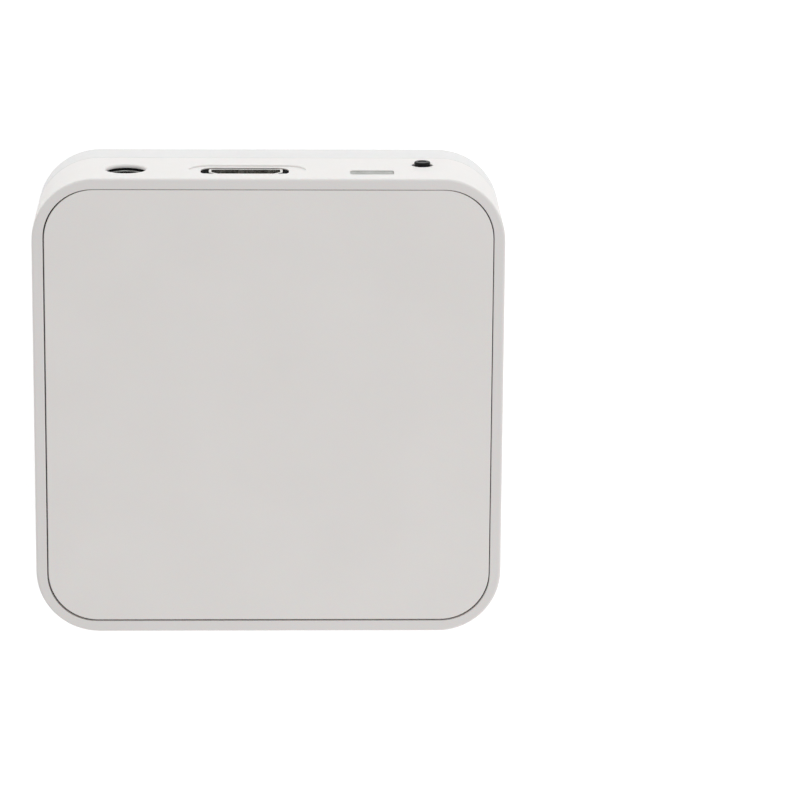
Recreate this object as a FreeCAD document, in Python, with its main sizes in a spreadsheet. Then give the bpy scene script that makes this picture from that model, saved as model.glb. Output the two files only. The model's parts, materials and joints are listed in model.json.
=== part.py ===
"""Small square Bluetooth audio receiver, built as the separate pieces that it comes apart into.

The receiver lies flat: X is across it, +Y is the side with the connectors, +Z is the inlaid panel.
The origin is under the middle of the case, on the surface that the rubber feet stand on.
"""
import FreeCAD, Part
import math
import os
import re

import Sketcher

# Driving dimensions in millimetres: one cell of the sheet each, under the name given here.
DIMENSIONS = {
    # Case: two shells that meet at the parting line
    "case_width": 48.0,
    "case_corner": 6.5,
    "total_height": 16.0,
    "foot_proud": 0.8,
    "parting_height": 5.84,
    "wall": 1.6,
    "deck_thickness": 1.0,
    "floor_thickness": 1.2,
    "top_edge_round": 0.25,
    "bottom_edge_round": 0.8,
    "seam_chamfer": 0.1,
    "tongue_rise": 1.0,
    "tongue_thickness": 0.7,
    "fit_gap": 0.1,
    # Inlaid panel, a little off centre in its recess, on a sheet of black adhesive
    "recess_width": 45.74,
    "recess_corner": 5.05,
    "panel_width": 45.52,
    "panel_corner": 5.08,
    "panel_thickness": 1.0,
    "panel_right": 0.02,
    "panel_rearward": 0.055,
    "glue_width": 45.6,
    "glue_thickness": 0.15,
    "fine_round": 0.1,
    # Screws up through the base and board into the upper shell, under the feet
    "post_across": 20.0,
    "post_along": 17.0,
    "post_radius": 2.0,
    "post_foot_radius": 3.0,
    "post_foot_top": 4.2,
    "screw_seat": 3.2,
    "head_radius": 1.9,
    "head_height": 1.3,
    "head_recess_radius": 2.1,
    "shank_radius": 0.84,
    "pilot_radius": 0.85,
    "pilot_end": 0.25,
    "shank_length": 10.0,
    "clearance_radius": 1.1,
    "drive_length": 2.2,
    "drive_width": 0.5,
    "drive_depth": 0.7,
    # Rubber feet, each in a round recess
    "foot_across": 18.4,
    "foot_along": 17.0,
    "foot_radius": 4.0,
    "foot_thickness": 1.6,
    "foot_round": 0.3,
    # Circuit board
    "board_top": 10.4,
    "board_thickness": 1.6,
    "board_width": 43.6,
    "board_corner": 4.2,
    "notch_room": 0.2,
    # Parts on the board
    "chip_standoff": 0.1,
    "pin_metal": 0.15,
    "pin_lift": 0.5,
    "pin_foot": 0.5,
    "pin_root": 1.1,
    "pin_width": 0.3,
    "module_height": 0.8,
    "can_along": -8.2,
    "can_width": 11.4,
    "can_length": 11.0,
    "can_height": 1.8,
    "can_metal": 0.2,
    "can_corner": 0.5,
    "can_round": 0.15,
    # Audio jack, 3.5 mm, sunk in a notch of the board
    "jack_across": -14.55,
    "jack_axis": 11.2,
    "jack_hole_radius": 2.0,
    "jack_hole_round": 0.3,
    "jack_lip": 0.35,
    "jack_width": 6.0,
    "jack_bottom": 8.75,
    "jack_height": 5.0,
    "jack_length": 12.0,
    "jack_bore_radius": 2.1,
    "nose_radius": 2.45,
    "nose_gap": 0.08,
    "bushing_bore_radius": 1.8,
    "bushing_inset": 1.0,
    "bushing_recess": 0.15,
    "spring_metal": 0.25,
    "spring_width": 1.0,
    "spring_half_length": 1.3,
    "spring_back": 2.9,
    "spring_bend": 0.55,
    "spring_tip": 1.6,
    "spring_tip_metal": 0.3,
    "spring_slot_depth": 1.8,
    "tail_across": 3.3,
    "tail_end": 4.0,
    "tail_width": 0.75,
    # Micro-USB socket on the board, its mouth level with the floor of a shallow recess
    "usb_across": -2.35,
    "usb_recess_across": -2.2,
    "usb_recess_width": 11.84,
    "usb_recess_height": 4.1,
    "usb_recess_middle": 11.35,
    "usb_recess_corner": 2.04,
    "usb_recess_depth": 0.16,
    "usb_hole_across": -2.45,
    "usb_hole_width": 9.0,
    "usb_hole_height": 3.3,
    "usb_hole_middle": 11.6,
    "usb_hole_corner": 1.3,
    "gasket_inset": 0.05,
    "gasket_slack": 0.02,
    "usb_width": 7.5,
    "usb_height": 2.45,
    "usb_cut_corner": 0.85,
    "usb_low_corner": 0.2,
    "usb_metal": 0.25,
    "usb_length": 5.4,
    "usb_mouth_inset": 0.2,
    "usb_leg_length": 1.6,
    "usb_leg_drop": 1.0,
    "tongue_inset": 0.3,
    "tongue_plate_width": 3.7,
    "tongue_plate_height": 0.6,
    "tongue_plate_length": 2.5,
    "tongue_block_width": 5.2,
    "tongue_block_height": 1.65,
    "tongue_block_length": 1.6,
    "contact_width": 0.3,
    "contact_metal": 0.12,
    "contact_pitch": 0.65,
    "contact_slack": 0.04,
    "contact_heel": 0.3,
    "contact_tail": 0.8,
    # Status window: the end of a light pipe above the light on the board
    "window_across": 10.5,
    "window_middle": 12.85,
    "window_width": 4.43,
    "window_height": 1.9,
    "window_corner": 0.3,
    "window_inset": 0.06,
    "window_slack": 0.06,
    "seat_gap": 0.02,
    "deck_gap": 0.05,
    "pipe_flange_width": 5.4,
    "pipe_flange_depth": 1.8,
    "pipe_flange_height": 2.65,
    # Push button: the actuator of a side-pressed switch
    "button_across": 15.72,
    "button_axis": 9.13,
    "button_radius": 0.825,
    "button_hole_radius": 1.05,
    "button_lip": 0.4,
    "button_room_radius": 1.6,
    "button_proud": 0.35,
    "button_round": 0.12,
    "dimple_radius": 0.45,
    "dimple_depth": 0.06,
    "collar_radius": 1.2,
    "collar_length": 0.98,
    "switch_width": 4.6,
    "switch_height": 3.4,
    "switch_depth": 2.6,
    "switch_well_radius": 1.5,
    "switch_well_depth": 1.6,
    "cover_metal": 0.2,
    "cover_hole_radius": 0.95,
    "cover_flap": 1.5,
    "dome_radius": 1.4,
    "dome_rise": 0.55,
    "dome_metal": 0.1,
    # Battery under the board
    "battery_width": 30.0,
    "battery_length": 35.0,
    "battery_thickness": 5.0,
    "battery_round": 1.2,
    "pad_width": 26.0,
    "pad_length": 29.0,
    "pad_thickness": 0.3,
    "lead_radius": 0.4,
    "lead_across": 2.0,
    "lead_bend": 1.3,
    "lead_run": 1.9,
}

document = FreeCAD.newDocument("audio_receiver")
sheet = document.addObject("Spreadsheet::Sheet", "dims")
for row, (name, value) in enumerate(DIMENSIONS.items(), start=1):
    sheet.set(f"A{row}", name)
    sheet.set(f"B{row}", str(value))
    sheet.setAlias(f"B{row}", name)
document.recompute()

# Levels and places that follow from the driving dimensions
CASE_BOTTOM = "foot_proud"
FLOOR_TOP = "(foot_proud + floor_thickness)"
GLUE_BOTTOM = "(total_height - panel_thickness - glue_thickness)"
PANEL_BOTTOM = "(total_height - panel_thickness)"
DECK_UNDERSIDE = "(total_height - panel_thickness - glue_thickness - deck_thickness)"
CAVITY_WIDTH = "(case_width - 2 * wall)"
CAVITY_CORNER = "(case_corner - wall)"
TONGUE_WIDTH = "(case_width - 2 * wall + 2 * tongue_thickness)"
TONGUE_CORNER = "(case_corner - wall + tongue_thickness)"
REAR_FACE = "(case_width / 2)"
REAR_WALL_INSIDE = "(case_width / 2 - wall)"
THROUGH_WALL = "(wall + 0.1)"
BOARD_BOTTOM = "(board_top - board_thickness)"
JACK_FRONT = "(case_width / 2 - wall - seat_gap)"
NOSE_FRONT = "(case_width / 2 - jack_lip - nose_gap)"
USB_FRONT = "(case_width / 2 - usb_mouth_inset)"
USB_BACK = "(case_width / 2 - usb_mouth_inset - usb_length)"
SWITCH_FACE = "(case_width / 2 - wall - notch_room - cover_metal)"
POSTS = [(f"{across} * post_across", f"{along} * post_along") for across in (-1, 1) for along in (-1, 1)]
FEET = [(f"{across} * foot_across", f"{along} * foot_along") for across in (-1, 1) for along in (-1, 1)]

sub_parts = []


def spelled(expression):
    """The expression with each dimension's name as the document knows it."""
    def full_name(match):
        return "dims." + match[0] if match[0] in DIMENSIONS else match[0]
    return re.sub(r"[a-z_]+", full_name, str(expression))


def number(expression):
    """The value of an expression in millimetres."""
    return float(sheet.evalExpression(spelled(expression)))


def bind(item, name, expression):
    """Tie a property of an object to the sheet."""
    item.setExpression(name, spelled(expression))


def new_body(label):
    """An empty PartDesign body for one sub-part."""
    body = document.addObject("PartDesign::Body", label)
    body.Label = label
    sub_parts.append(body)
    return body


def origin_item(body, role):
    """One of the body's own origin planes or axes."""
    return next(item for item in body.Origin.OriginFeatures if item.Role == role)


def new_sketch(body, plane, centre):
    """A sketch parallel to the XY, XZ or YZ plane, its origin at centre (x, y, z)."""
    sketch = body.newObject("Sketcher::SketchObject", "Sketch")
    sketch.AttachmentSupport = [(origin_item(body, plane + "_Plane"), "")]
    sketch.MapMode = "FlatFace"
    x, y, z = centre
    offsets = {"XY": (x, y, z), "XZ": (x, z, f"-({y})"), "YZ": (y, z, x)}[plane]
    for axis, expression in zip("xyz", offsets):
        bind(sketch, "AttachmentOffset.Base." + axis, expression)
    return sketch


def fix(sketch, kind, elements, expression):
    """Add a dimension to a sketch and tie it to the sheet."""
    index = sketch.addConstraint(Sketcher.Constraint(kind, *elements, number(expression)))
    bind(sketch, f"Constraints[{index}]", expression)


def point(x, y):
    return FreeCAD.Vector(x, y, 0)


def circles(body, plane, centre, radius, places=(("0", "0"),)):
    """A sketch of equal circles, each at a place (across, up) from the sketch's origin."""
    sketch = new_sketch(body, plane, centre)
    for index, (across, up) in enumerate(places):
        middle = point(number(across), number(up))
        sketch.addGeometry(Part.Circle(middle, FreeCAD.Vector(0, 0, 1), number(radius)), False)
        fix(sketch, "DistanceX", (-1, 1, index, 3), across)
        fix(sketch, "DistanceY", (-1, 1, index, 3), up)
        fix(sketch, "Radius", (index,), radius)
    return sketch


def polygon(body, plane, centre, corners):
    """A sketch of straight lines through corners (across, up), each tied to the sheet."""
    sketch = new_sketch(body, plane, centre)
    places = [point(number(across), number(up)) for across, up in corners]
    for index, start in enumerate(places):
        end = places[(index + 1) % len(places)]
        sketch.addGeometry(Part.LineSegment(start, end), False)
    for index in range(len(places)):
        following = (index + 1) % len(places)
        sketch.addConstraint(Sketcher.Constraint("Coincident", index, 2, following, 1))
    for index, (across, up) in enumerate(corners):
        fix(sketch, "DistanceX", (-1, 1, index, 1), across)
        fix(sketch, "DistanceY", (-1, 1, index, 1), up)
    return sketch


def rectangle(body, plane, centre, width, height):
    """A sketch of a rectangle about the sketch's origin."""
    right, top = f"({width}) / 2", f"({height}) / 2"
    left, bottom = f"-({width}) / 2", f"-({height}) / 2"
    return polygon(body, plane, centre, [(left, bottom), (right, bottom), (right, top), (left, top)])


def rounded_rectangle(body, plane, centre, width, height, radius):
    """A sketch of a rectangle about the sketch's origin, with four equal round corners."""
    sketch = new_sketch(body, plane, centre)
    x, y, r = number(width) / 2, number(height) / 2, number(radius)

    def side(start, end):
        return Part.LineSegment(point(*start), point(*end))

    def corner(across, up, start):
        circle = Part.Circle(point(across, up), FreeCAD.Vector(0, 0, 1), r)
        return Part.ArcOfCircle(circle, math.radians(start), math.radians(start + 90))

    sketch.addGeometry([
        side((-x + r, -y), (x - r, -y)), corner(x - r, -y + r, -90),
        side((x, -y + r), (x, y - r)), corner(x - r, y - r, 0),
        side((x - r, y), (-x + r, y)), corner(-x + r, y - r, 90),
        side((-x, y - r), (-x, -y + r)), corner(-x + r, -y + r, 180),
    ], False)
    limit = Sketcher.Constraint
    sketch.addConstraint([limit("Tangent", index, 2, (index + 1) % 8, 1) for index in range(8)])
    sketch.addConstraint([limit("Horizontal", 0), limit("Horizontal", 4)])
    sketch.addConstraint([limit("Vertical", 2), limit("Vertical", 6)])
    sketch.addConstraint([limit("Equal", 1, index) for index in (3, 5, 7)])
    sketch.addConstraint(limit("Symmetric", 1, 3, 5, 3, -1, 1))
    fix(sketch, "Radius", (1,), radius)
    fix(sketch, "DistanceX", (6, 1, 2, 1), width)
    fix(sketch, "DistanceY", (0, 1, 4, 1), height)
    return sketch


# The way each feature goes from a sketch on each plane unless it is reversed
NATURAL_WAY = {
    ("Pad", "XY"): "+Z", ("Pad", "XZ"): "-Y", ("Pad", "YZ"): "+X",
    ("Pocket", "XY"): "-Z", ("Pocket", "XZ"): "+Y", ("Pocket", "YZ"): "-X",
}


def extrude(kind, sketch, length, way, flare=None):
    """Pad or pocket a sketch towards +X, -Y and so on, and check that it changed the solid."""
    body = sketch.getParentGeoFeatureGroup()
    before = body.Shape.Volume if body.Tip else 0.0
    plane = sketch.AttachmentSupport[0][0].Role[:2]
    feature = body.newObject("PartDesign::" + kind, kind)
    feature.Profile = sketch
    bind(feature, "Length", length)
    feature.Reversed = NATURAL_WAY[kind, plane] != way
    if flare:
        bind(feature, "TaperAngle", flare)
    document.recompute()
    grew = feature.Shape.Volume - before
    if abs(grew) < 1e-6 or (grew > 0) != (kind == "Pad"):
        raise ValueError(f"{kind} in {body.Label} changed the volume by {grew}")
    return feature


def pad(sketch, length, way, flare=None):
    return extrude("Pad", sketch, length, way, flare)


def pocket(sketch, length, way, flare=None):
    return extrude("Pocket", sketch, length, way, flare)


def dress(kind, body, amount, chosen):
    """Fillet or chamfer the edges whose bounding box is chosen."""
    base = body.Tip
    boxes = enumerate((edge.BoundBox for edge in base.Shape.Edges), start=1)
    names = [f"Edge{index}" for index, box in boxes if chosen(box)]
    feature = body.newObject("PartDesign::" + kind, kind)
    feature.Base = (base, names)
    bind(feature, "Radius" if kind == "Fillet" else "Size", amount)
    document.recompute()
    return feature


def level_at(height):
    """Choose edges that lie level at a height."""
    level = number(height)
    return lambda box: abs(box.ZMin - level) < 1e-4 and abs(box.ZMax - level) < 1e-4


def facing_at(depth):
    """Choose edges that lie in the upright plane at a place along Y."""
    place = number(depth)
    return lambda box: abs(box.YMin - place) < 1e-4 and abs(box.YMax - place) < 1e-4


def wider_than(size, chosen):
    """Narrow a choice to edges that reach further than size from the middle across or along."""
    limit = number(size)

    def test(box):
        reach = max(abs(box.XMin), abs(box.XMax), abs(box.YMin), abs(box.YMax))
        return chosen(box) and reach > limit
    return test


def no_wider_than(size, chosen):
    """Narrow a choice to edges that stay within size of the middle across and along."""
    limit = number(size)

    def test(box):
        reach = max(abs(box.XMin), abs(box.XMax), abs(box.YMin), abs(box.YMax))
        return chosen(box) and reach < limit
    return test


def within(centre, half_width, chosen):
    """Narrow a choice to edges near a place across the case."""
    middle, reach = number(centre), number(half_width)

    def test(box):
        return chosen(box) and box.XMin > middle - reach and box.XMax < middle + reach
    return test


def repeat(feature, steps):
    """Copy a feature along one or more (kind, axis, extent, count) patterns, one after another."""
    body = feature.getParentGeoFeatureGroup()
    patterns = body.newObject("PartDesign::MultiTransform", "Copies")
    patterns.Originals = [feature]
    transforms = []
    for kind, axis, extent, count in steps:
        step = document.addObject("PartDesign::" + kind, kind)
        reference = (origin_item(body, axis + "_Axis"), [""])
        if kind == "LinearPattern":
            step.Direction = reference
            bind(step, "Length", extent)
        else:
            step.Axis = reference
            step.Angle = extent
        step.Occurrences = count
        transforms.append(step)
    patterns.Transformations = transforms
    body.Tip = patterns
    document.recompute()


def block(label, place, size):
    """A plain box, its middle at (x, y) and its underside at z."""
    box = document.addObject("Part::Box", label)
    box.Label = label
    for name, expression in zip(("Length", "Width", "Height"), size):
        bind(box, name, expression)
    x, y, z = place
    bind(box, "Placement.Base.x", f"{x} - ({size[0]}) / 2")
    bind(box, "Placement.Base.y", f"{y} - ({size[1]}) / 2")
    bind(box, "Placement.Base.z", z)
    return box


def group(label, pieces):
    """One node of several separate solids."""
    compound = document.addObject("Part::Compound", label)
    compound.Label = label
    compound.Links = pieces
    sub_parts.append(compound)


def chip(label, place, size, edge):
    """A moulded or ceramic component, its upper edges bevelled."""
    body = new_body(label)
    pad(rectangle(body, "XY", place, size[0], size[1]), size[2], "+Z")
    dress("Chamfer", body, edge, level_at(f"{place[2]} + {size[2]}"))
    return body


# ---------------------------------------------------------------- case

def make_top_panel():
    """Inlaid square panel."""
    body = new_body("top_panel")
    centre = ("panel_right", "panel_rearward", PANEL_BOTTOM)
    outline = rounded_rectangle(body, "XY", centre, "panel_width", "panel_width", "panel_corner")
    pad(outline, "panel_thickness", "+Z")
    dress("Fillet", body, "fine_round", level_at("total_height"))


def make_panel_adhesive():
    """Thin black sheet that holds the panel."""
    body = new_body("panel_adhesive")
    centre = ("0", "0", GLUE_BOTTOM)
    outline = rounded_rectangle(body, "XY", centre, "glue_width", "glue_width", "recess_corner")
    pad(outline, "glue_thickness", "+Z")


def make_upper_shell():
    """Walls and deck, open below, with the openings for the connectors in the rear wall."""
    body = new_body("upper_shell")
    seam = ("0", "0", "parting_height")
    outline = rounded_rectangle(body, "XY", seam, "case_width", "case_width", "case_corner")
    pad(outline, "total_height - parting_height", "+Z")
    top = ("0", "0", "total_height")
    recess = rounded_rectangle(body, "XY", top, "recess_width", "recess_width", "recess_corner")
    pocket(recess, "panel_thickness + glue_thickness", "-Z")
    cavity = rounded_rectangle(body, "XY", seam, CAVITY_WIDTH, CAVITY_WIDTH, CAVITY_CORNER)
    pocket(cavity, f"{DECK_UNDERSIDE} - parting_height", "+Z")
    step_width = f"{TONGUE_WIDTH} + 2 * fit_gap"
    step = rounded_rectangle(body, "XY", seam, step_width, step_width, f"{TONGUE_CORNER} + fit_gap")
    pocket(step, "tongue_rise + fit_gap", "+Z")
    dress("Fillet", body, "top_edge_round", wider_than("recess_width / 2 + 0.5", level_at("total_height")))
    dress("Fillet", body, "fine_round", no_wider_than("recess_width / 2 + 0.1", level_at("total_height")))
    dress("Chamfer", body, "seam_chamfer", wider_than("case_width / 2 - 0.1", level_at("parting_height")))
    pad(circles(body, "XY", ("0", "0", "board_top"), "post_radius", POSTS),
        f"{DECK_UNDERSIDE} - board_top", "+Z")
    pocket(circles(body, "XY", ("0", "0", "board_top"), "pilot_radius", POSTS),
           f"{DECK_UNDERSIDE} - board_top - pilot_end", "+Z")
    jack = ("jack_across", REAR_FACE, "jack_axis")
    pocket(circles(body, "XZ", jack, "jack_hole_radius"), THROUGH_WALL, "-Y")
    inside_jack = ("jack_across", REAR_WALL_INSIDE, "jack_axis")
    pocket(circles(body, "XZ", inside_jack, "nose_radius + fit_gap"), "wall - jack_lip", "+Y")
    near_jack = within("jack_across", "jack_hole_radius + 0.1", facing_at(REAR_FACE))
    dress("Fillet", body, "jack_hole_round", near_jack)
    usb = ("usb_recess_across", REAR_FACE, "usb_recess_middle")
    shallow = rounded_rectangle(body, "XZ", usb, "usb_recess_width", "usb_recess_height", "usb_recess_corner")
    pocket(shallow, "usb_recess_depth", "-Y")
    through = ("usb_hole_across", REAR_FACE, "usb_hole_middle")
    hole = rounded_rectangle(body, "XZ", through, "usb_hole_width", "usb_hole_height", "usb_hole_corner")
    pocket(hole, THROUGH_WALL, "-Y")
    near_usb = within("usb_recess_across", "usb_recess_width / 2 + 0.1", facing_at(REAR_FACE))
    dress("Fillet", body, "fine_round", near_usb)
    window = ("window_across", REAR_FACE, "window_middle")
    slot = rounded_rectangle(body, "XZ", window, "window_width", "window_height", "window_corner")
    pocket(slot, THROUGH_WALL, "-Y")
    button = ("button_across", REAR_FACE, "button_axis")
    pocket(circles(body, "XZ", button, "button_hole_radius"), THROUGH_WALL, "-Y")
    inside_button = ("button_across", REAR_WALL_INSIDE, "button_axis")
    pocket(circles(body, "XZ", inside_button, "button_room_radius"), "wall - button_lip", "+Y")
    near_button = within("button_across", "button_hole_radius + 0.1", facing_at(REAR_FACE))
    dress("Fillet", body, "fine_round", near_button)


def make_base_cover():
    """Floor and lower walls, with a tongue round the seam, screw posts and recesses for the feet."""
    body = new_body("base_cover")
    bottom = ("0", "0", CASE_BOTTOM)
    outline = rounded_rectangle(body, "XY", bottom, "case_width", "case_width", "case_corner")
    pad(outline, f"parting_height - {CASE_BOTTOM}", "+Z")
    dress("Fillet", body, "bottom_edge_round", level_at(CASE_BOTTOM))
    dress("Chamfer", body, "seam_chamfer", level_at("parting_height"))
    seam = ("0", "0", "parting_height")
    tongue = rounded_rectangle(body, "XY", seam, TONGUE_WIDTH, TONGUE_WIDTH, TONGUE_CORNER)
    pad(tongue, "tongue_rise", "+Z")
    rim = ("0", "0", "parting_height + tongue_rise")
    cavity = rounded_rectangle(body, "XY", rim, CAVITY_WIDTH, CAVITY_WIDTH, CAVITY_CORNER)
    pocket(cavity, f"parting_height + tongue_rise - {FLOOR_TOP}", "-Z")
    floor = ("0", "0", FLOOR_TOP)
    pad(circles(body, "XY", floor, "post_radius", POSTS), f"{BOARD_BOTTOM} - {FLOOR_TOP}", "+Z")
    pad(circles(body, "XY", floor, "post_foot_radius", POSTS), f"post_foot_top - {FLOOR_TOP}", "+Z")
    pocket(circles(body, "XY", bottom, "clearance_radius", POSTS), BOARD_BOTTOM, "+Z")
    pocket(circles(body, "XY", bottom, "head_recess_radius", POSTS), f"screw_seat - {CASE_BOTTOM}", "+Z")
    foot_room = f"foot_thickness - {CASE_BOTTOM}"
    pocket(circles(body, "XY", bottom, "foot_radius + fit_gap", FEET), foot_room, "+Z")


def make_rubber_feet():
    """Four round pads that cover the screw heads."""
    body = new_body("rubber_feet")
    pad(circles(body, "XY", ("0", "0", "0"), "foot_radius", FEET), "foot_thickness", "+Z")
    dress("Fillet", body, "foot_round", level_at("0"))


def make_case_screws():
    """Four pan-head screws with a cross drive; each shank stands for the thread."""
    body = new_body("case_screws")
    seat = ("0", "0", "screw_seat")
    pad(circles(body, "XY", seat, "head_radius", POSTS), "head_height", "-Z")
    dress("Fillet", body, "head_height / 3", level_at("screw_seat - head_height"))
    pad(circles(body, "XY", seat, "shank_radius", POSTS), "shank_length", "+Z")
    for across, along in POSTS:
        head = (across, along, "screw_seat - head_height")
        pocket(rectangle(body, "XY", head, "drive_length", "drive_width"), "drive_depth", "+Z")
        pocket(rectangle(body, "XY", head, "drive_width", "drive_length"), "drive_depth", "+Z")


# ---------------------------------------------------------------- circuit board

def usb_leg_across(side):
    """Where a leg of the micro-USB socket stands beside it."""
    return f"usb_across + {side} * (usb_width + usb_metal) / 2"


def make_circuit_board():
    """Main board, notched for the sunk jack and switch."""
    body = new_body("circuit_board")
    bottom = ("0", "0", BOARD_BOTTOM)
    outline = rounded_rectangle(body, "XY", bottom, "board_width", "board_width", "board_corner")
    pad(outline, "board_thickness", "+Z")
    edge = "board_width / 2"
    jack_back = f"({JACK_FRONT} - jack_length - notch_room)"
    jack_notch = ("jack_across", f"({edge} + {jack_back}) / 2", BOARD_BOTTOM)
    pocket(rectangle(body, "XY", jack_notch, "jack_width + 2 * fit_gap", f"{edge} - {jack_back}"),
           "board_thickness", "+Z")
    switch_back = f"({SWITCH_FACE} - switch_depth - notch_room)"
    switch_notch = ("button_across", f"({edge} + {switch_back}) / 2", BOARD_BOTTOM)
    pocket(rectangle(body, "XY", switch_notch, "switch_width + 2 * fit_gap", f"{edge} - {switch_back}"),
           "board_thickness", "+Z")
    pocket(circles(body, "XY", bottom, "clearance_radius + fit_gap", POSTS), "board_thickness", "+Z")
    for side in (-1, 1):
        leg = (usb_leg_across(side), f"{USB_FRONT} - usb_length / 2", "board_top")
        hole = ("usb_metal + 2 * fit_gap", "usb_leg_length + 2 * fit_gap")
        pocket(rectangle(body, "XY", leg, *hole), "board_thickness", "-Z")


def make_chips():
    """Bluetooth module, amplifier and power parts on the board."""
    top, lifted = "board_top", "board_top + chip_standoff"
    chip("bluetooth_board", ("0", "-10.5", top), ("13.4", "17", "module_height"), "0.05")
    chip("bluetooth_antenna", ("0", "-17.4", f"{top} + module_height"), ("7", "2", "0.9"), "0.1")
    chip("audio_codec", ("-13.5", "-2", lifted), ("7", "7", "1.2"), "0.15")
    chip("charger_chip", ("3.5", "12", lifted), ("4.9", "3.9", "1.4"), "0.15")
    chip("voltage_regulator", ("11", "15", lifted), ("2.9", "1.6", "1.0"), "0.1")
    chip("crystal", ("-13.5", "-10.5", top), ("3.2", "2.5", "0.8"), "0.15")
    chip("power_inductor", ("11", "8.5", top), ("4", "4", "2"), "0.4")
    chip("status_led", ("window_across", "21", top), ("1.6", "0.8", "0.6"), "0.08")


def make_shield_can():
    """Folded metal can over the module's chips."""
    body = new_body("shield_can")
    base = ("0", "can_along", "board_top + module_height")
    pad(rounded_rectangle(body, "XY", base, "can_width", "can_length", "can_corner"), "can_height", "+Z")
    inside = ("can_width - 2 * can_metal", "can_length - 2 * can_metal", "can_corner - can_metal")
    pocket(rounded_rectangle(body, "XY", base, *inside), "can_height - can_metal", "+Z")
    dress("Fillet", body, "can_round", level_at("board_top + module_height + can_height"))


def make_gull_wing_pins(label, place, reach, pitch, count, sides):
    """Rows of bent pins along two or four sides of a chip, out to reach from its middle."""
    body = new_body(label)
    root, shoulder = f"({reach} - pin_root)", f"({reach} - pin_foot)"
    start = f"-{pitch} * {count - 1} / 2"
    profile = polygon(body, "XZ", ("0", f"{start} - pin_width / 2", "0"), [
        (root, "pin_lift"), (f"{shoulder} - pin_metal", "pin_lift"), (f"{shoulder} - pin_metal", "0"),
        (reach, "0"), (reach, "pin_metal"), (shoulder, "pin_metal"), (shoulder, "pin_lift + pin_metal"),
        (root, "pin_lift + pin_metal"),
    ])
    pin = pad(profile, "pin_width", "+Y")
    repeat(pin, [("LinearPattern", "Y", f"{pitch} * {count - 1}", count), ("PolarPattern", "Z", 360, sides)])
    for axis, expression in zip("xyz", place):
        bind(body, "Placement.Base." + axis, expression)


def make_small_components():
    """Ceramic capacitors and resistors in rows, and two tantalum capacitors."""
    top = "board_top"
    capacitors = [
        block(f"capacitor_{row}_{column}", (f"-17 + {column} * 2.4", f"-14.2 - {row} * 2.2", top),
              ("1.6", "0.8", "0.8"))
        for row in range(2) for column in range(4)
    ]
    capacitors += [
        block(f"filter_capacitor_{column}", (f"10 + {column} * 1.8", "-2", top), ("0.8", "1.6", "0.8"))
        for column in range(4)
    ]
    group("ceramic_capacitors", capacitors)
    resistors = [
        block(f"resistor_{row}_{column}", (f"10 + {column} * 2.6", f"-8 - {row} * 2.2", top),
              ("1.6", "0.8", "0.45"))
        for row in range(4) for column in range(3)
    ]
    group("chip_resistors", resistors)
    tantalums = [
        block(f"tantalum_{index}", ("-7.6", f"13.6 - {index} * 4.6", top), ("2.8", "3.5", "1.9"))
        for index in range(2)
    ]
    group("tantalum_capacitors", tantalums)


# ---------------------------------------------------------------- audio jack

SPRING_PLACES = {"jack_sleeve_spring": (1, 3.1), "jack_ring_spring": (-1, 7.6), "jack_tip_spring": (1, 10.2)}


def make_jack_body():
    """Moulded block and nose with the plug's bore right through, and a slot in its side for each spring."""
    body = new_body("jack_body")
    middle = f"({JACK_FRONT} - jack_length / 2)"
    pad(rectangle(body, "XY", ("jack_across", middle, "jack_bottom"), "jack_width", "jack_length"),
        "jack_height", "+Z")
    front = ("jack_across", JACK_FRONT, "jack_axis")
    pad(circles(body, "XZ", front, "nose_radius"), f"{NOSE_FRONT} - {JACK_FRONT}", "+Y")
    nose = ("jack_across", NOSE_FRONT, "jack_axis")
    pocket(circles(body, "XZ", nose, "jack_bore_radius"), f"{NOSE_FRONT} - {JACK_FRONT} + jack_length", "-Y")
    for side, depth in SPRING_PLACES.values():
        face = (f"jack_across + {side} * jack_width / 2", f"{JACK_FRONT} - {depth}", "jack_axis")
        slot = rectangle(body, "YZ", face, "2 * spring_half_length + 0.3", "spring_width + 0.2")
        pocket(slot, "spring_slot_depth", "-X" if side > 0 else "+X")
    dress("Fillet", body, "fine_round", level_at("jack_bottom + jack_height"))


def make_jack_bushing():
    """Plated ring in the nose of the jack that guides the plug."""
    body = new_body("jack_bushing")
    back = ("jack_across", f"{JACK_FRONT} - bushing_inset", "jack_axis")
    length = f"{NOSE_FRONT} - bushing_recess - {JACK_FRONT} + bushing_inset"
    pad(circles(body, "XZ", back, "jack_bore_radius"), length, "+Y")
    pocket(circles(body, "XZ", back, "bushing_bore_radius"), length, "+Y")
    dress("Fillet", body, "fine_round", facing_at(f"{NOSE_FRONT} - bushing_recess"))


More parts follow.
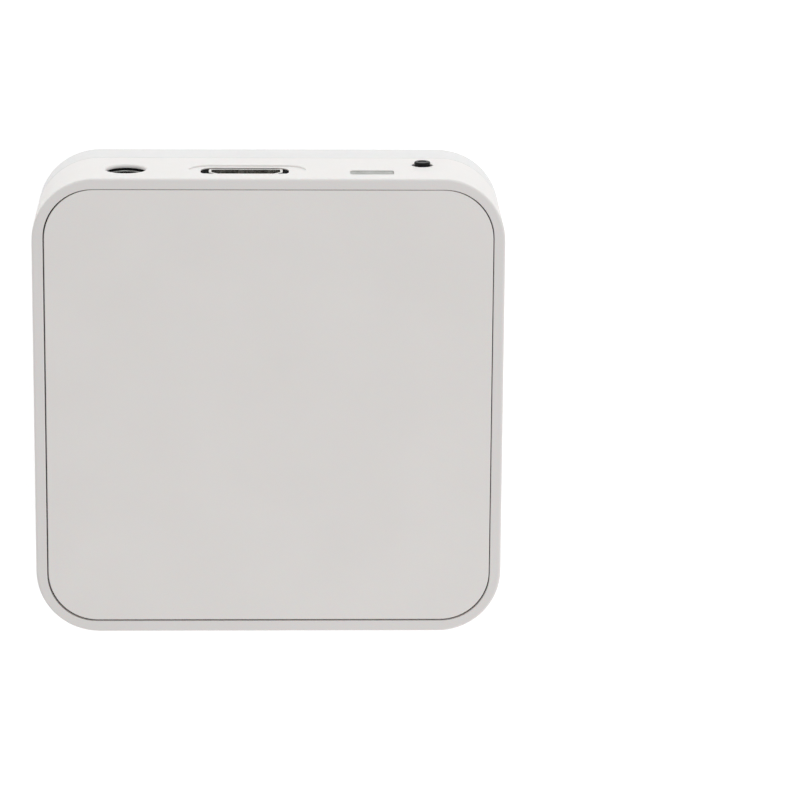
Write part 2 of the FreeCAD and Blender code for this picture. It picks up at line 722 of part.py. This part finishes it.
def make_jack_springs():
    """Three bent contact strips, each with a soldered tail."""
    for label, (side, depth) in SPRING_PLACES.items():
        body = new_body(label)
        outer, inner = f"{side} * spring_back", f"{side} * (spring_back - spring_metal)"
        half, bend = "spring_half_length", "spring_bend"
        along = f"{JACK_FRONT} - {depth}"
        strip = polygon(body, "XY", ("jack_across", along, "jack_axis - spring_width / 2"), [
            (outer, f"-{half}"), (outer, f"-{bend}"), (f"{side} * (spring_tip + spring_tip_metal)", "0"),
            (outer, bend), (outer, half), (inner, half), (inner, f"{bend} + 0.05"),
            (f"{side} * spring_tip", "0"), (inner, f"-{bend} - 0.05"), (inner, f"-{half}"),
        ])
        pad(strip, "spring_width", "+Z")
        ledge = "jack_axis - spring_width / 2 - board_top"
        near, far = f"{side} * tail_across", f"{side} * (tail_across + spring_metal)"
        tail = polygon(body, "XZ", ("jack_across", f"{along} - {half}", "board_top"), [
            (outer, ledge), (near, ledge), (near, "0"), (f"{side} * tail_end", "0"),
            (f"{side} * tail_end", "spring_metal"), (far, "spring_metal"),
            (far, f"{ledge} + spring_metal"), (outer, f"{ledge} + spring_metal"),
        ])
        pad(tail, "tail_width", "+Y")


# ---------------------------------------------------------------- micro-USB socket

def usb_outline(body, depth, inset):
    """The socket's section: widest at the board, its upper corners cut; inset moves it inwards."""
    half = f"(usb_width / 2 - {inset})"
    top, bottom = f"(usb_height / 2 - {inset})", f"-(usb_height / 2 - {inset})"
    cut, low = f"(usb_cut_corner - 0.5 * {inset})", f"(usb_low_corner - 0.5 * {inset})"
    centre = ("usb_across", depth, "board_top + usb_height / 2")
    return polygon(body, "XZ", centre, [
        (f"-({half} - {low})", bottom), (f"{half} - {low}", bottom), (half, f"{bottom} + {low}"),
        (half, f"{top} - {cut}"), (f"{half} - {cut}", top), (f"-({half} - {cut})", top),
        (f"-{half}", f"{top} - {cut}"), (f"-{half}", f"{bottom} + {low}"),
    ])


def make_usb_shell():
    """Folded metal shell with two legs through the board."""
    body = new_body("usb_shell")
    pad(usb_outline(body, USB_FRONT, "0"), "usb_length", "-Y")
    pocket(usb_outline(body, USB_FRONT, "usb_metal"), "usb_length", "-Y")
    for side in (-1, 1):
        leg = (usb_leg_across(side), f"{USB_FRONT} - usb_length / 2", "board_top - usb_leg_drop")
        height = "usb_leg_drop + usb_height - usb_cut_corner"
        pad(rectangle(body, "XY", leg, "usb_metal", "usb_leg_length"), height, "+Z")


def make_usb_gasket():
    """Black surround that fills the hole in the wall round the socket's mouth."""
    body = new_body("usb_gasket")
    front = f"({USB_FRONT} - gasket_inset)"
    size = ("usb_hole_width - gasket_slack", "usb_hole_height - gasket_slack", "usb_hole_corner")
    face = ("usb_hole_across", front, "usb_hole_middle")
    pad(rounded_rectangle(body, "XZ", face, *size), f"{front} - {REAR_WALL_INSIDE}", "-Y")
    pocket(usb_outline(body, front, "(0 - gasket_slack / 2)"), f"{front} - {REAR_WALL_INSIDE}", "-Y")


def make_usb_tongue():
    """Insulator at the back of the socket and the plate that carries the contacts."""
    body = new_body("usb_tongue")
    middle = "(board_top + usb_height / 2)"
    back = ("usb_across", f"{USB_BACK} + tongue_inset", middle)
    pad(rectangle(body, "XZ", back, "tongue_block_width", "tongue_block_height"), "tongue_block_length", "+Y")
    front = ("usb_across", f"{back[1]} + tongue_block_length", f"{middle} + tongue_plate_height / 2")
    plate = rectangle(body, "XZ", front, "tongue_plate_width", "tongue_plate_height")
    pad(plate, "tongue_plate_length", "+Y")
    for index in range(-2, 3):
        channel = (f"usb_across + {index} * contact_pitch", back[1], f"{middle} - contact_metal / 2")
        size = ("contact_width + contact_slack", "contact_metal + contact_slack")
        pocket(rectangle(body, "XZ", channel, *size), "tongue_block_length", "+Y")


def make_usb_contacts():
    """Five contact strips under the plate, their tails soldered behind the socket."""
    body = new_body("usb_contacts")
    first = "usb_across - 2 * contact_pitch - contact_width / 2"
    strip_top = "usb_height / 2 - contact_slack / 2"
    end = "(tongue_block_length + tongue_plate_length)"
    heel, tail = "(0 - contact_heel)", "(0 - contact_heel - contact_tail)"
    profile = polygon(body, "YZ", (first, USB_BACK, "board_top"), [
        (end, f"{strip_top} - contact_metal"), (end, strip_top), (heel, strip_top),
        (heel, "contact_metal"), (tail, "contact_metal"), (tail, "0"), (f"{heel} + contact_metal", "0"),
        (f"{heel} + contact_metal", f"{strip_top} - contact_metal"),
    ])
    strip = pad(profile, "contact_width", "+X")
    repeat(strip, [("LinearPattern", "X", "4 * contact_pitch", 5)])


# ---------------------------------------------------------------- light pipe and button

def make_light_pipe():
    """Clear moulding: its end fills the window, and its flange stands over the status light."""
    body = new_body("light_pipe")
    bottom = f"({DECK_UNDERSIDE} - deck_gap - pipe_flange_height)"
    flange = ("window_across", f"{REAR_WALL_INSIDE} - seat_gap - pipe_flange_depth / 2", bottom)
    pad(rectangle(body, "XY", flange, "pipe_flange_width", "pipe_flange_depth"), "pipe_flange_height", "+Z")
    inner = ("window_across", f"{REAR_WALL_INSIDE} - seat_gap", "window_middle")
    size = ("window_width - window_slack", "window_height - window_slack")
    pad(rounded_rectangle(body, "XZ", inner, *size, "window_corner"), "wall + seat_gap - window_inset", "+Y")


def make_switch():
    """Side-pressed switch: body, metal cover, snap dome and the actuator that is the button."""
    body = new_body("switch_body")
    bottom = "button_axis - switch_height / 2"
    place = ("button_across", f"{SWITCH_FACE} - switch_depth / 2", bottom)
    pad(rectangle(body, "XY", place, "switch_width", "switch_depth"), "switch_height", "+Z")
    face = ("button_across", SWITCH_FACE, "button_axis")
    pocket(circles(body, "XZ", face, "switch_well_radius"), "switch_well_depth", "-Y")

    cover = new_body("switch_cover")
    pad(rectangle(cover, "XZ", face, "switch_width", "switch_height + 2 * cover_metal"), "cover_metal", "+Y")
    for side in (-1, 1):
        flap = ("button_across", SWITCH_FACE, f"button_axis + {side} * (switch_height + cover_metal) / 2")
        pad(rectangle(cover, "XZ", flap, "switch_width", "cover_metal"), "cover_flap", "-Y")
    pocket(circles(cover, "XZ", face, "cover_hole_radius"), "cover_metal", "+Y")

    dome = new_body("switch_dome")
    well = ("button_across", f"{SWITCH_FACE} - switch_well_depth", "button_axis")
    slope = "45"
    pad(circles(dome, "XZ", well, "dome_radius"), "dome_rise", "+Y", flare=f"-{slope}")
    pocket(circles(dome, "XZ", well, "dome_radius - 1.5 * dome_metal"), "dome_rise - dome_metal", "+Y",
           flare=f"-{slope}")

    button = new_body("power_button")
    collar_front = f"({SWITCH_FACE} - seat_gap)"
    stem = ("button_across", collar_front, "button_axis")
    pad(circles(button, "XZ", stem, "button_radius"), f"{REAR_FACE} + button_proud - {collar_front}", "+Y")
    dress("Fillet", button, "button_round", facing_at(f"{REAR_FACE} + button_proud"))
    pad(circles(button, "XZ", stem, "collar_radius"), "collar_length", "-Y")
    tip = ("button_across", f"{REAR_FACE} + button_proud", "button_axis")
    pocket(circles(button, "XZ", tip, "dimple_radius"), "dimple_depth", "-Y")


# ---------------------------------------------------------------- battery

def make_battery():
    """Flat pouch cell stuck to the floor, with two insulated leads up to the board."""
    pad_body = new_body("battery_pad")
    floor = ("0", "0", FLOOR_TOP)
    pad(rectangle(pad_body, "XY", floor, "pad_width", "pad_length"), "pad_thickness", "+Z")

    cell = new_body("battery_cell")
    underside = ("0", "0", f"{FLOOR_TOP} + pad_thickness")
    outline = rounded_rectangle(cell, "XY", underside, "battery_width", "battery_length", "battery_round")
    pad(outline, "battery_thickness", "+Z")
    top = f"{FLOOR_TOP} + pad_thickness + battery_thickness"
    dress("Fillet", cell, "battery_round", level_at(top))
    dress("Fillet", cell, "battery_round", level_at(f"{FLOOR_TOP} + pad_thickness"))


def make_battery_lead(label, side):
    """One lead: straight out of the cell's end, round a bend and up to the board."""
    body = new_body(label)
    level = f"({FLOOR_TOP} + pad_thickness + battery_thickness / 2)"
    start = (f"{side} * lead_across", "-battery_length / 2", level)
    bend, run = number("lead_bend"), number("lead_run")
    rise = number(f"{BOARD_BOTTOM} - {level}")
    path = new_sketch(body, "YZ", start)
    turn = Part.Circle(point(bend - run, bend), FreeCAD.Vector(0, 0, 1), bend)
    path.addGeometry([
        Part.LineSegment(point(0, 0), point(bend - run, 0)),
        Part.ArcOfCircle(turn, math.radians(180), math.radians(270)),
        Part.LineSegment(point(-run, bend), point(-run, rise)),
    ], False)
    limit = Sketcher.Constraint
    path.addConstraint([limit("Coincident", -1, 1, 0, 1), limit("Horizontal", 0), limit("Vertical", 2)])
    path.addConstraint([limit("Tangent", 0, 2, 1, 2), limit("Tangent", 1, 1, 2, 1)])
    fix(path, "Radius", (1,), "lead_bend")
    fix(path, "DistanceX", (2, 2, 0, 1), "lead_run")
    fix(path, "DistanceY", (0, 1, 2, 2), f"{BOARD_BOTTOM} - {level}")
    section = circles(body, "XZ", start, "lead_radius")
    document.recompute()
    pipe = body.newObject("PartDesign::AdditivePipe", "Lead")
    pipe.Profile = section
    pipe.Spine = (path, ["Edge1", "Edge2", "Edge3"])
    document.recompute()


make_top_panel()
make_panel_adhesive()
make_upper_shell()
make_base_cover()
make_rubber_feet()
make_case_screws()
make_circuit_board()
make_chips()
make_shield_can()
make_gull_wing_pins("codec_pins", ("-13.5", "-2", "board_top"), "4.6", "0.8", 8, 4)
make_gull_wing_pins("charger_pins", ("3.5", "12", "board_top"), "3.55", "0.9", 4, 2)
make_gull_wing_pins("regulator_pins", ("11", "15", "board_top"), "2.55", "0.8", 2, 2)
make_small_components()
make_jack_body()
make_jack_bushing()
make_jack_springs()
make_usb_shell()
make_usb_gasket()
make_usb_tongue()
make_usb_contacts()
make_light_pipe()
make_switch()
make_battery()
make_battery_lead("battery_lead_red", -1)
make_battery_lead("battery_lead_black", 1)
document.recompute()

for item in document.Objects:
    if "Invalid" in item.State or "Error" in item.State:
        raise ValueError(f"{item.Label} failed: {item.State}")
for item in sub_parts:
    if item.Shape.isNull() or not item.Shape.isValid() or not item.Shape.Solids:
        raise ValueError(f"{item.Label} has no valid solid")

os.makedirs("parts", exist_ok=True)
for item in sub_parts:
    item.Shape.exportStep(os.path.join("parts", item.Label + ".step"))
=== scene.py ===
"""Looks of a small square Bluetooth audio receiver: materials, floor, light and camera.

All sizes are in metres, in the frame of the part: +Y is the wall with the connectors, +Z the panel.
"""
import json
import math

import bpy
from mathutils import Matrix, Vector


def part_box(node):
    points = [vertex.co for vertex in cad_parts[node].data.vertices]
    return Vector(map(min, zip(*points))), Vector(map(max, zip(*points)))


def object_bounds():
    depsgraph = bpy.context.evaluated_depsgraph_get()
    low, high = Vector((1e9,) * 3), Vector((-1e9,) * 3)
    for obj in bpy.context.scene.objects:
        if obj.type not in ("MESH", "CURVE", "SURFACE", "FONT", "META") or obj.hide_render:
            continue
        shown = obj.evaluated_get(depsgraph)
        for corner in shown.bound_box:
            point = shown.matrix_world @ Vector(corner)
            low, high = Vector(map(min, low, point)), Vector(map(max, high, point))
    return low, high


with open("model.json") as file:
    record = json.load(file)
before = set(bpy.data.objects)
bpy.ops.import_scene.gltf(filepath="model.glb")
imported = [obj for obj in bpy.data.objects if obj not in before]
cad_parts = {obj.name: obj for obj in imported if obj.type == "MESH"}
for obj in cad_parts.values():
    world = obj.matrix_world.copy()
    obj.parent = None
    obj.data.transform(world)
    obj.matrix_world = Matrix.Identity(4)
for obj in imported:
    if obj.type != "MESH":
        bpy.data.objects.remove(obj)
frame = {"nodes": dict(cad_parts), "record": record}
cad_box = [list(corner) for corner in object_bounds()]

MM = 0.001
WHITE = (1.0, 1.0, 1.0)
FLOOR_SIZE = 3.0

# Most values of a noise texture lie in this range
NOISE_MIDDLE = (0.3, 0.7)

# Camera: a long lens, looking down on the panel from a little towards the connector wall
VIEW_TILT = math.radians(15.4)
VIEW_DISTANCE = 431.4 * MM
FRAME_WIDTH = 81.9 * MM
SENSOR_WIDTH = 36.0
RIGHT_OF_PANEL = 13.43 * MM
ABOVE_PANEL = 0.86 * MM


# ---------------------------------------------------------------- node helpers

class Material:
    """A node material with one Principled shader, and the textures that feed it."""

    def __init__(self, name):
        self.material = bpy.data.materials.new(name)
        self.material.use_nodes = True
        self.tree = self.material.node_tree
        self.shader = self.tree.nodes["Principled BSDF"]
        self.place = self.tree.nodes.new("ShaderNodeTexCoord").outputs["Object"]

    def set(self, **values):
        """Set constant sockets of the shader: an underscore stands for a space."""
        for name, value in values.items():
            self.shader.inputs[name.replace("_", " ")].default_value = value
        return self

    def node(self, kind, **settings):
        made = self.tree.nodes.new(kind)
        for name, value in settings.items():
            setattr(made, name, value)
        return made

    def link(self, output, socket):
        self.tree.links.new(output, socket)

    def noise(self, size, detail=2.0, stretch=(1, 1, 1)):
        """Noise whose blotches are about size across; stretch lengthens them along an axis."""
        mapping = self.node("ShaderNodeMapping")
        mapping.inputs["Scale"].default_value = [1 / along for along in stretch]
        self.link(self.place, mapping.inputs["Vector"])
        noise = self.node("ShaderNodeTexNoise")
        noise.inputs["Scale"].default_value = 1 / size
        noise.inputs["Detail"].default_value = detail
        self.link(mapping.outputs["Vector"], noise.inputs["Vector"])
        return noise.outputs["Fac"]

    def spread(self, factor, low, high):
        """Map the middle of a noise's range to low..high."""
        ramp = self.node("ShaderNodeMapRange")
        ramp.inputs["From Min"].default_value = NOISE_MIDDLE[0]
        ramp.inputs["From Max"].default_value = NOISE_MIDDLE[1]
        ramp.inputs["To Min"].default_value = low
        ramp.inputs["To Max"].default_value = high
        self.link(factor, ramp.inputs["Value"])
        return ramp.outputs["Result"]

    def tint(self, factor, low, high):
        """Colour between two tints, by a noise."""
        mix = self.node("ShaderNodeMix", data_type="RGBA")
        first, second = [socket for socket in mix.inputs if socket.type == "RGBA"]
        first.default_value = (*low, 1)
        second.default_value = (*high, 1)
        self.link(self.spread(factor, 0.0, 1.0), mix.inputs["Factor"])
        result = next(socket for socket in mix.outputs if socket.type == "RGBA")
        self.link(result, self.shader.inputs["Base Color"])
        return self

    def rough(self, factor, low, high):
        self.link(self.spread(factor, low, high), self.shader.inputs["Roughness"])
        return self

    def bump(self, factor, height, strength=1.0):
        """Relief of a given height, on top of any relief already there."""
        bump = self.node("ShaderNodeBump")
        bump.inputs["Distance"].default_value = height
        bump.inputs["Strength"].default_value = strength
        socket = self.shader.inputs["Normal"]
        if socket.is_linked:
            self.link(socket.links[0].from_socket, bump.inputs["Normal"])
        self.link(factor, bump.inputs["Height"])
        self.link(bump.outputs["Normal"], socket)
        return self


# ---------------------------------------------------------------- materials

def textured_plastic(name, low, high, grain=0.16 * MM, relief=0.006 * MM, roughness=(0.42, 0.52)):
    """Moulded white plastic with the fine grain of an eroded mould."""
    made = Material(name).set(IOR=1.5, Subsurface_Weight=0.06, Subsurface_Scale=0.4 * MM)
    made.tint(made.noise(9 * MM, detail=3), low, high)
    made.rough(made.noise(1.2 * MM), *roughness)
    made.bump(made.noise(grain, detail=3), relief)
    made.bump(made.noise(14 * MM), 0.02 * MM, 0.5)
    return made.material


def moulded_black(name, shade=0.008, roughness=(0.35, 0.5), grain=0.12 * MM):
    """Black connector or button plastic."""
    made = Material(name).set(IOR=1.5, Specular_IOR_Level=0.15)
    low = (shade, shade, shade * 1.05)
    high = (shade * 1.6, shade * 1.6, shade * 1.7)
    made.tint(made.noise(1.5 * MM), low, high)
    made.rough(made.noise(0.5 * MM), *roughness)
    made.bump(made.noise(grain), 0.004 * MM)
    return made.material


def plated_metal(name, low, high, roughness=(0.16, 0.32), stretch=(1, 6, 1)):
    """Plated sheet metal with fine drawing lines."""
    made = Material(name).set(Metallic=1.0)
    made.tint(made.noise(0.8 * MM, detail=3), low, high)
    made.rough(made.noise(0.3 * MM, detail=4, stretch=stretch), *roughness)
    made.bump(made.noise(0.05 * MM, stretch=stretch), 0.0015 * MM)
    return made.material


def soft_rubber(name, low, high, shine=0.5):
    """Dull rubber, adhesive or foam; a low shine keeps black ones black at grazing angles."""
    made = Material(name).set(IOR=1.45, Specular_IOR_Level=shine)
    made.tint(made.noise(3 * MM, detail=4), low, high)
    made.rough(made.noise(0.6 * MM), 0.7, 0.85)
    made.bump(made.noise(0.2 * MM, detail=4), 0.015 * MM)
    return made.material


def light_guide(name):
    """Frosted, slightly see-through plastic."""
    made = Material(name).set(IOR=1.49, Transmission_Weight=0.35)
    made.tint(made.noise(1.4 * MM), (0.44, 0.44, 0.41), (0.62, 0.62, 0.59))
    made.rough(made.noise(0.4 * MM), 0.35, 0.5)
    made.bump(made.noise(0.15 * MM), 0.005 * MM)
    return made.material


def laminate(name, low, high):
    """Circuit board under solder mask, with the weave of the glass showing faintly."""
    made = Material(name).set(IOR=1.5, Coat_Weight=0.3)
    made.tint(made.noise(0.7 * MM, stretch=(4, 1, 1)), low, high)
    made.rough(made.noise(0.5 * MM, stretch=(1, 4, 1)), 0.3, 0.45)
    made.bump(made.noise(0.35 * MM, stretch=(1, 3, 1)), 0.01 * MM)
    return made.material


def fired_ceramic(name, low, high, roughness=(0.4, 0.6)):
    """Fine-grained bodies of chips, capacitors and other board parts."""
    made = Material(name).set(IOR=1.6)
    made.tint(made.noise(0.3 * MM, detail=4), low, high)
    made.rough(made.noise(0.4 * MM), *roughness)
    made.bump(made.noise(0.08 * MM), 0.004 * MM)
    return made.material


def glossy_insulation(name, low, high):
    """Smooth insulation of the battery's leads."""
    made = Material(name).set(IOR=1.53, Coat_Weight=0.2)
    made.tint(made.noise(1 * MM), low, high)
    made.rough(made.noise(0.5 * MM), 0.25, 0.4)
    made.bump(made.noise(0.3 * MM), 0.006 * MM)
    return made.material


def pouch_foil(name):
    """Creased foil of a battery pouch."""
    made = Material(name).set(Metallic=0.85)
    made.tint(made.noise(4 * MM, detail=3), (0.60, 0.61, 0.63), (0.74, 0.75, 0.77))
    made.rough(made.noise(1 * MM), 0.3, 0.45)
    made.bump(made.noise(2.5 * MM, detail=4), 0.08 * MM)
    return made.material


SLOT_MATERIALS = {
    "shell_plastic": textured_plastic("shell_plastic", (0.815, 0.785, 0.77), (0.835, 0.80, 0.79)),
    "panel_plastic": textured_plastic(
        "panel_plastic", (0.855, 0.82, 0.80), (0.875, 0.84, 0.82),
        grain=0.22 * MM, relief=0.004 * MM, roughness=(0.48, 0.58)),
    "black_adhesive": soft_rubber("black_adhesive", (0.008, 0.008, 0.008), (0.015, 0.015, 0.015)),
    "foot_rubber": soft_rubber("foot_rubber", (0.42, 0.42, 0.41), (0.50, 0.50, 0.49)),
    "screw_steel": plated_metal("screw_steel", (0.50, 0.50, 0.51), (0.60, 0.60, 0.61)),
    "board_laminate": laminate("board_laminate", (0.015, 0.12, 0.045), (0.03, 0.19, 0.08)),
    "module_laminate": laminate("module_laminate", (0.012, 0.04, 0.13), (0.02, 0.07, 0.20)),
    "tin_plate": plated_metal("tin_plate", (0.66, 0.66, 0.64), (0.78, 0.78, 0.76), roughness=(0.28, 0.42)),
    "chip_epoxy": fired_ceramic("chip_epoxy", (0.022, 0.022, 0.025), (0.04, 0.04, 0.045)),
    "ceramic_body": fired_ceramic("ceramic_body", (0.38, 0.27, 0.17), (0.48, 0.36, 0.24)),
    "antenna_ceramic": fired_ceramic("antenna_ceramic", (0.70, 0.68, 0.62), (0.80, 0.78, 0.73)),
    "resistor_body": fired_ceramic("resistor_body", (0.03, 0.03, 0.035), (0.06, 0.06, 0.07), (0.2, 0.35)),
    "tantalum_body": fired_ceramic("tantalum_body", (0.72, 0.40, 0.05), (0.84, 0.52, 0.10)),
    "ferrite": fired_ceramic("ferrite", (0.06, 0.06, 0.065), (0.11, 0.11, 0.12), (0.5, 0.7)),
    "led_resin": light_guide("led_resin"),
    "connector_plastic": moulded_black("connector_plastic"),
    "connector_nickel": plated_metal("connector_nickel", (0.62, 0.61, 0.58), (0.74, 0.73, 0.70)),
    "contact_gold": plated_metal("contact_gold", (0.80, 0.56, 0.24), (0.88, 0.66, 0.34)),
    "light_guide": light_guide("light_guide"),
    "button_plastic": moulded_black("button_plastic", shade=0.005, roughness=(0.3, 0.42)),
    "cell_foil": pouch_foil("cell_foil"),
    "foam_tape": soft_rubber("foam_tape", (0.78, 0.78, 0.75), (0.86, 0.86, 0.84)),
    "red_insulation": glossy_insulation("red_insulation", (0.50, 0.012, 0.012), (0.62, 0.02, 0.02)),
    "black_insulation": glossy_insulation("black_insulation", (0.012, 0.012, 0.012), (0.02, 0.02, 0.02)),
}

# The lower shell comes from another mould batch and is a shade cooler than the upper one;
# the ring in the jack gets a darker plating than the other connector metal, a painted dark reflection;
# the surround of the micro-USB mouth is dull rubber, kept near black as painted shade of the gap around
# the mouth
NODE_MATERIALS = {
    "base_cover": textured_plastic("base_plastic", (0.77, 0.755, 0.755), (0.79, 0.775, 0.775)),
    "jack_bushing": plated_metal("ring_painted_dark_reflection", (0.24, 0.24, 0.23), (0.32, 0.32, 0.31)),
    # near-black rubber surround: its tone is painted shade of the gap around the USB mouth
    "usb_gasket": soft_rubber("gasket_painted_gap_shade", (0.003, 0.003, 0.003), (0.007, 0.007, 0.007), shine=0.04),
}

for subpart in frame["record"]["subparts"]:
    node = frame["nodes"][subpart["node"]]
    finish = NODE_MATERIALS.get(subpart["node"], SLOT_MATERIALS[subpart["material_slot"]])
    for slot in node.material_slots:
        slot.link = "OBJECT"
        slot.material = finish


# ---------------------------------------------------------------- floor, light and camera

def make_floor():
    """Plain pale floor under the feet, faintly lit from within so that it stays near white."""
    mesh = bpy.data.meshes.new("floor")
    half = FLOOR_SIZE / 2
    level = cad_box[0][2]
    mesh.from_pydata(
        [(-half, -half, level), (half, -half, level), (half, half, level), (-half, half, level)],
        [], [(0, 1, 2, 3)])
    floor = bpy.data.objects.new("floor", mesh)
    bpy.context.scene.collection.objects.link(floor)
    made = Material("floor").set(Specular_IOR_Level=0.1)
    made.set(Emission_Color=(*WHITE, 1), Emission_Strength=0.42)
    made.tint(made.noise(80 * MM), (0.90, 0.90, 0.90), (0.92, 0.92, 0.92))
    made.rough(made.noise(30 * MM), 0.7, 0.8)
    mesh.materials.append(made.material)


def make_light(name, direction, distance, size, power, colour=WHITE):
    """A square soft light that faces the object from a direction."""
    data = bpy.data.lights.new(name, "AREA")
    data.shape = "SQUARE"
    data.size = size
    data.energy = power
    data.color = colour
    light = bpy.data.objects.new(name, data)
    towards = Vector(direction).normalized()
    light.location = panel_middle + towards * distance
    light.rotation_mode = "QUATERNION"
    light.rotation_quaternion = towards.to_track_quat("Z", "Y")
    bpy.context.scene.collection.objects.link(light)


def make_world(strength):
    world = bpy.data.worlds.new("studio")
    world.use_nodes = True
    background = world.node_tree.nodes["Background"]
    background.inputs["Color"].default_value = (*WHITE, 1)
    background.inputs["Strength"].default_value = strength
    bpy.context.scene.world = world


def make_camera():
    """Long-lens camera; the object stands left of the middle of its picture."""
    data = bpy.data.cameras.new("camera")
    data.sensor_width = SENSOR_WIDTH
    data.lens = SENSOR_WIDTH * VIEW_DISTANCE / FRAME_WIDTH
    data.clip_start = 0.01
    data.clip_end = 20.0
    camera = bpy.data.objects.new("camera", data)
    back = Vector((0, math.sin(VIEW_TILT), math.cos(VIEW_TILT)))
    across = Vector((1, 0, 0))
    upwards = back.cross(across)
    place = panel_middle + back * VIEW_DISTANCE
    aim = panel_middle + across * RIGHT_OF_PANEL + upwards * ABOVE_PANEL
    backwards = (place - aim).normalized()
    sideways = upwards.cross(backwards).normalized()
    axes = Matrix((sideways, backwards.cross(sideways), backwards)).transposed()
    camera.matrix_world = Matrix.Translation(place) @ axes.to_4x4()
    bpy.context.scene.collection.objects.link(camera)
    bpy.context.scene.camera = camera


shell_low, shell_high = (Vector(corner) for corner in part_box("upper_shell"))
panel_middle = (shell_low + shell_high) / 2
panel_middle.z = shell_high.z
make_floor()
make_world(strength=0.62)
make_light("key", (0.15, 1.0, 0.35), distance=0.9, size=0.6, power=1.8, colour=(0.91, 1.0, 0.98))
make_light("fill", (0.8, -0.9, 0.7), distance=0.3, size=0.25, power=0.19)
make_camera()
bpy.context.scene.view_settings.view_transform = "Standard"
